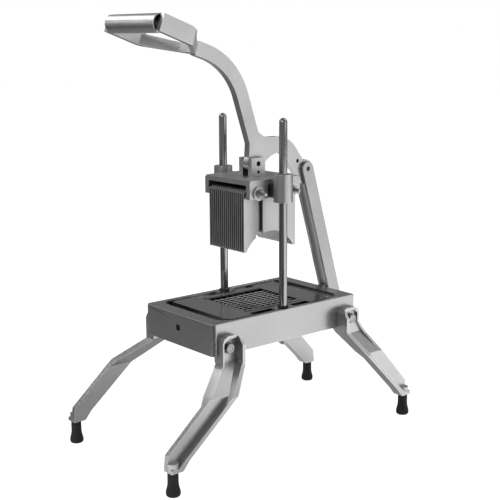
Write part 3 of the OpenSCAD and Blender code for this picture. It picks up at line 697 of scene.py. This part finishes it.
def box_of(o):
    spots = [v.co for v in o.data.vertices]
    low = Vector([min(v[i] for v in spots) for i in range(3)])
    high = Vector([max(v[i] for v in spots) for i in range(3)])
    return low, high


def solids(node_name):
    merged_copy(node_name, "probe", HAIR)
    bpy.ops.mesh.separate(type="LOOSE")
    bpy.ops.object.mode_set(mode="OBJECT")
    boxes = [box_of(o) for o in bpy.context.selected_objects]
    bpy.ops.object.delete()
    return sorted(boxes, key=lambda lh: tuple(round(c, 5) for c in lh[0]))


def upright(low, high):
    return Matrix.Translation(((low.x + high.x) / 2, (low.y + high.y) / 2, low.z))


def sideways(low, high):
    outward = 1 if low.x + high.x > -0.001 else -1
    start = Vector((low.x if outward > 0 else high.x, (low.y + high.y) / 2, (low.z + high.z) / 2))
    return Matrix.Translation(start) @ Matrix.Rotation(outward * math.radians(90), 4, "Y")


def copies(pattern, places):
    made = []
    for place in places:
        c = pattern.copy()
        c.data = pattern.data.copy()
        c.data.transform(place)
        scene.collection.objects.link(c)
        made.append(c)
    bpy.data.objects.remove(pattern)
    return made


def joined(made, name):
    fresh_start()
    for c in made:
        c.select_set(True)
    bpy.context.view_layer.objects.active = made[0]
    if len(made) > 1:
        bpy.ops.object.join()
    made[0].name = name
    return made[0]


def set_in_place(pattern, node_name, lay, finish=None):
    piece = joined(copies(pattern, [lay(*b) for b in solids(node_name)]), node_name + "_made")
    dress(piece, node_name, finish=finish)
    print(node_name, "faces:", len(piece.data.polygons))


print("leg bolts found:", len(solids("leg_bolts")))

# %% [markdown]
# Each foot is a moulded rubber stem that flares to a wide rounded heel, so that it grips a table.
# A shallow groove under the leg marks where the mould closed.

# %% Rubber feet
foot_profile = mm(
    (6.2, 0.0), (8.3, 0.5), (9.5, 1.7), (10.0, 3.6), (10.0, 6.2), (9.7, 8.0), (9.1, 10.2), (8.4, 12.8),
    (7.9, 15.2), (7.6, 17.6), (7.5, 20.0), (7.5, 29.6), (7.15, 30.0), (7.15, 30.5), (7.5, 30.9),
    (7.5, 33.2), (7.1, 34.0))
for name in ("foot_front_right", "foot_front_left", "foot_rear_right", "foot_rear_left"):
    set_in_place(turned(name + "_turned", foot_profile, 48), name, upright)
ring_profile = mm(
    (6.02, 0.4), (6.5, 0.0), (7.3, 0.0), (8.0, 0.7), (8.0, 2.1), (7.7, 2.7), (7.1, 3.0), (6.5, 3.0), (6.02, 2.6))
set_in_place(turned("bumper_turned", ring_profile, 48, bored=True), "rod_bumpers", upright)

# %% [markdown]
# A guide rod is ground steel bar with a domed top and a threaded stud that goes down through the base.
# A thread is drawn as fine turned ridges, which is all that the eye sees of it at this size.

# %% Guide rods
ROD_LENGTH = 310.0
ROD_RADIUS = 6.0
STUD_RADIUS = 4.0
THREAD_DEPTH = 0.55


def thread(radius, low, high, pitch):
    points = []
    z = low
    while z + pitch <= high:
        points += [(radius - THREAD_DEPTH * pitch, z), (radius, z + 0.45 * pitch), (radius, z + 0.55 * pitch)]
        z += pitch
    return points + [(radius - THREAD_DEPTH * pitch, z)]


low, high = solids("guide_rod_right")[0]
rod_top = (high.z - low.z) * 1000
stud_top = rod_top - ROD_LENGTH
dome_low = rod_top - ROD_RADIUS
rod_profile = [(3.2, 0.0)] + thread(STUD_RADIUS, 0.4, 12.0, 1.25)
rod_profile += [(STUD_RADIUS, 13.2), (STUD_RADIUS, stud_top), (5.4, stud_top), (ROD_RADIUS, stud_top + 0.6)]
for angle in [math.radians(d) for d in range(0, 88, 11)]:
    rod_profile.append((ROD_RADIUS * math.cos(angle), dome_low + ROD_RADIUS * math.sin(angle)))
rod_profile.append((0.3, rod_top))
for name in ("guide_rod_right", "guide_rod_left"):
    set_in_place(turned(name + "_turned", mm(*rod_profile), 48), name, upright)
print("rod length:", round(rod_top, 1), "mm")

# %% [markdown]
# A hexagon bolt head or nut is a six-sided bar whose corners were chamfered in a lathe.
# The same thing happens here: a turned body with conical ends is intersected with a six-sided prism.

# %% Bolts, nuts and washers
HEX_SMOOTH = math.radians(18)
CORNER_REACH = 1.18
FACE_REACH = 0.95
CHAMFER = 0.13


def hexed(name, across, low_z, high_z, trimmer):
    fresh_start()
    bpy.ops.mesh.primitive_cylinder_add(
        vertices=6, radius=across / math.sqrt(3), depth=high_z - low_z, location=(0, 0, (low_z + high_z) / 2))
    bar = bpy.context.object
    bar.name = name
    bpy.ops.object.transform_apply(location=True, rotation=True, scale=True)
    trim = bar.modifiers.new("trim", "BOOLEAN")
    trim.operation = "INTERSECT"
    trim.solver = "EXACT"
    trim.object = trimmer
    bpy.ops.object.modifier_apply(modifier="trim")
    bpy.data.objects.remove(trimmer)
    bpy.ops.object.shade_smooth_by_angle(angle=HEX_SMOOTH)
    return bar


def nut(name, across, height, bore):
    r = across / 2
    body = turned(name + "_body", mm(
        (bore, 0.4), (bore + 0.4, 0.0), (r * FACE_REACH, 0.0), (r * CORNER_REACH, r * CHAMFER),
        (r * CORNER_REACH, height - r * CHAMFER), (r * FACE_REACH, height), (bore + 0.4, height),
        (bore, height - 0.4)), 48, bored=True)
    return hexed(name, across / 1000, -0.0002, (height + 0.2) / 1000, body)


def bolt(name, across, head, radius, length):
    r = across / 2
    neck = length - head
    cap = turned(name + "_cap", mm(
        (r * 0.9, neck), (r * CORNER_REACH, neck + 0.2), (r * CORNER_REACH, length - r * CHAMFER),
        (r * FACE_REACH, length),
        (r * 0.62, length), (r * 0.5, length - 0.5), (0.3, length - 0.6)), 48)
    top_part = hexed(name + "_head", across / 1000, (neck - 0.2) / 1000, (length + 0.2) / 1000, cap)
    shank_profile = [(radius - 0.8, 0.0)] + thread(radius, 0.3, 14.0, 1.25) + [(radius, 14.6), (radius, neck + 0.1)]
    shank = turned(name + "_shank", mm(*shank_profile), 32)
    return joined([top_part, shank], name)


def washer(name, outside, bore, thick):
    return turned(name, mm(
        (bore, 0.0), (outside - 0.3, 0.0), (outside, 0.3), (outside, thick - 0.3), (outside - 0.3, thick),
        (bore, thick)), 48, bored=True)


low, high = solids("leg_bolts")[0]
set_in_place(bolt("leg_bolt", 13.0, 5.5, 4.0, (high.x - low.x) * 1000), "leg_bolts", sideways)
set_in_place(washer("leg_washer", 8.0, 4.15, 1.6), "leg_washers", sideways)
set_in_place(nut("leg_nut", 13.0, 6.5, 4.0), "leg_nuts", sideways)
set_in_place(washer("rod_washer", 8.0, 4.15, 1.6), "rod_washers", upright)
set_in_place(nut("rod_nut", 13.0, 6.5, 4.0), "rod_nuts", upright)
set_in_place(nut("tie_nut", 10.0, 5.0, 3.0), "tie_rod_nuts", sideways)

# %% [markdown]
# The two tie rods are studs with threaded ends that hold the pack of finger plates in the head.
# The bushings are bronze liners with a small lead-in at each end.
# The pins are plain steel with chamfered ends and a shallow centre mark.

# %% Tie rods, bushings and pins
tie_profile = ([(2.2, 0.0)] + thread(3.0, 0.3, 16.0, 1.0) + [(3.0, 16.6), (3.0, 121.4)]
               + thread(3.0, 122.0, 137.4, 1.0) + [(2.2, 138.0)])
for name in ("tie_rod_front", "tie_rod_rear"):
    set_in_place(turned(name + "_turned", mm(*tie_profile), 32), name, sideways)
liner_profile = mm(
    (6.05, 0.8), (6.7, 0.0), (8.4, 0.0), (9.0, 0.6), (9.0, 39.4), (8.4, 40.0), (6.7, 40.0), (6.05, 39.2))
for name in ("bushing_right", "bushing_left"):
    set_in_place(turned(name + "_turned", liner_profile, 48, bored=True), name, upright)


def pin(name, radius, length):
    return turned(name, mm(
        (radius * 0.3, 0.5), (radius * 0.42, 0.0), (radius * 0.86, 0.0), (radius, radius * 0.16),
        (radius, length - radius * 0.16), (radius * 0.86, length), (radius * 0.42, length),
        (radius * 0.3, length - 0.5)), 40)


# Painted shade: two pins get the near-black finish, so that their holes read as shaded.
PINS = (("lever_pin", 4.0, "dark_steel"), ("upper_link_pin", 3.5, "dark_steel"), ("lower_link_pin", 4.0, None))
for name, radius, finish in PINS:
    low, high = solids(name)[0]
    set_in_place(pin(name + "_turned", radius, (high.x - low.x) * 1000), name, sideways, finish)

# %% [markdown]
# The blades are thin strips of steel, halved into each other like a comb and ground to an edge along the top.
# Each strip is a loose part of a copy of the CAD node. It is cut through just below its top, and the top is narrowed.
# The ground edge keeps its tone, and the blade sides below it get painted shade, which stands for the dark cells of
# the grid.

# %% Blades
GRIND = 0.0012
EDGE_SHARE = 0.15


def ground(strip):
    take_up(strip)
    low, high = box_of(strip)
    middle = (low + high) / 2
    bpy.ops.object.mode_set(mode="EDIT")
    bpy.ops.mesh.select_all(action="SELECT")
    bpy.ops.mesh.bisect(plane_co=(middle.x, middle.y, high.z - GRIND), plane_no=(0, 0, 1))
    bpy.ops.mesh.select_all(action="DESELECT")
    bpy.ops.mesh.select_mode(type="VERT")
    bpy.ops.object.mode_set(mode="OBJECT")
    for v in strip.data.vertices:
        v.select = v.co.z > high.z - HAIR
    bpy.ops.object.mode_set(mode="EDIT")
    narrow = (EDGE_SHARE, 1, 1) if high.x - low.x < high.y - low.y else (1, EDGE_SHARE, 1)
    bpy.ops.transform.resize(value=narrow, center_override=middle)
    bpy.ops.object.mode_set(mode="OBJECT")
    return strip


def blades(node_name, finish):
    merged_copy(node_name, node_name + "_strips", HAIR)
    bpy.ops.mesh.dissolve_limited(angle_limit=math.radians(1.0))
    bpy.ops.mesh.separate(type="LOOSE")
    bpy.ops.object.mode_set(mode="OBJECT")
    piece = joined([ground(o) for o in list(bpy.context.selected_objects)], node_name + "_ground")
    dress(piece, node_name, finish=finish)
    print(node_name, "faces:", len(piece.data.polygons))


blades("upper_blades", "blade_steel")
blades("lower_blades", "low_blade_steel")

# %% [markdown]
# Four small screws hold the keeper under the blades. Each has a round head with a straight slot.
# The slot is cut by a thin block, taken away from the head.

# %% Keeper screws
SLOT_SIZE = (0.009, 0.0009, 0.0018)


def keeper_screw():
    head = [(1.2, 0.0), (2.7, 0.05), (3.3, 0.5), (3.5, 1.2), (3.5, 2.0), (2.0, 2.0), (2.0, 3.0)]
    body = turned("keeper_screw", mm(*(head + thread(2.0, 3.2, 10.4, 0.7) + [(1.4, 11.0)])), 32)
    fresh_start()
    bpy.ops.mesh.primitive_cube_add(size=1.0)
    cutter = bpy.context.object
    cutter.scale = SLOT_SIZE
    bpy.ops.object.transform_apply(location=True, rotation=True, scale=True)
    take_away(body, cutter)
    return body


set_in_place(keeper_screw(), "keeper_screws", upright)
